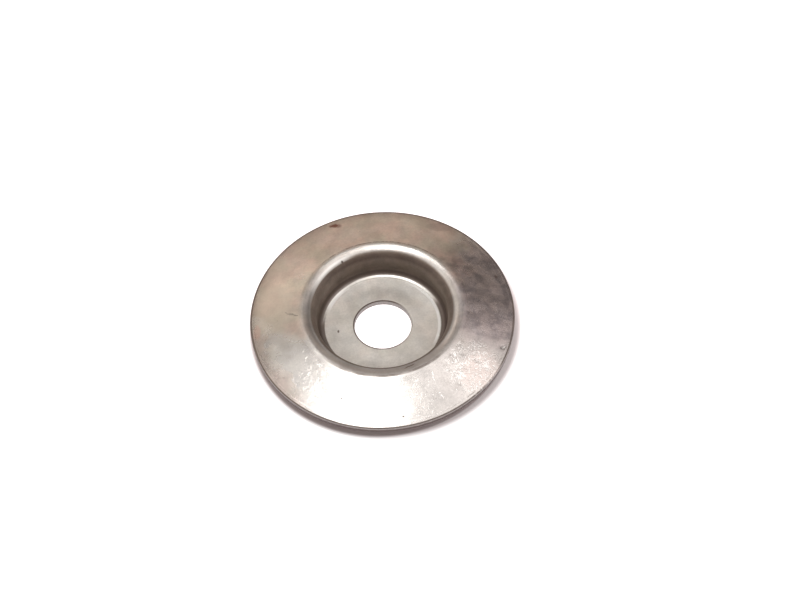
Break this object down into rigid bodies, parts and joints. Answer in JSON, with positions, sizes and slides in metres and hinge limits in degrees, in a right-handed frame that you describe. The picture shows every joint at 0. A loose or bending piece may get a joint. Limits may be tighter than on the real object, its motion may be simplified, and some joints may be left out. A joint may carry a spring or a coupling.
{
  "type": "dished cup washer",
  "caption": "Dished cup washer pressed from one steel sheet: a flat-floored cup round the screw hole, and a shallow conical flange that slopes down outside it.",
  "frame": {"origin": "centre of the screw hole in the plane of the cup floor's underside, which the washer stands on", "axes": "+Z along the washer's axis, up out of the cup's mouth; the washer is round, so X and Y are any two square directions"},
  "size_m": [0.0384, 0.0384, 0.0054],
  "materials": {
    "washer_steel": "satin rolled sheet with a faint warm tarnish, fine dents and scratches"
  },
  "bodies": {
    "root": {"cup_washer": "washer_steel"}
  },
  "joints": []
}
